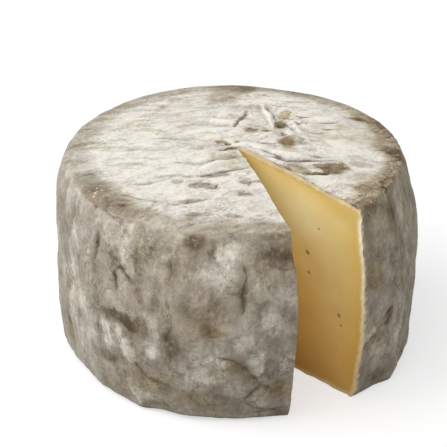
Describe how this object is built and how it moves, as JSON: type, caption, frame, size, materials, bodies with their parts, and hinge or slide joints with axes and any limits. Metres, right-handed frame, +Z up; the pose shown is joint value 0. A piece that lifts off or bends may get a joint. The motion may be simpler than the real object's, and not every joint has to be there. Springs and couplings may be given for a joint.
{
  "type": "goat tomme",
  "caption": "Tall barrel-sided wheel of semi-hard goat cheese with a grey natural rind and a slim wedge cut out of it.",
  "frame": {"origin": "middle of the bounding box at the foot; the wheel's own axis stands 1.7 mm to its left and 1.2 mm in front of it", "axes": "+Z up along the wheel's axis, from the foot to the domed top; the missing wedge opens towards -Y"},
  "size_m": [0.1588, 0.1617, 0.0965],
  "materials": {
    "rind": "dry mottled grey natural rind with white bloom, matt",
    "paste": "smooth cut paste, cream to deep straw near the rind, soft satin"
  },
  "bodies": {
    "root": {"tomme_wheel": "rind"}
  },
  "joints": []
}
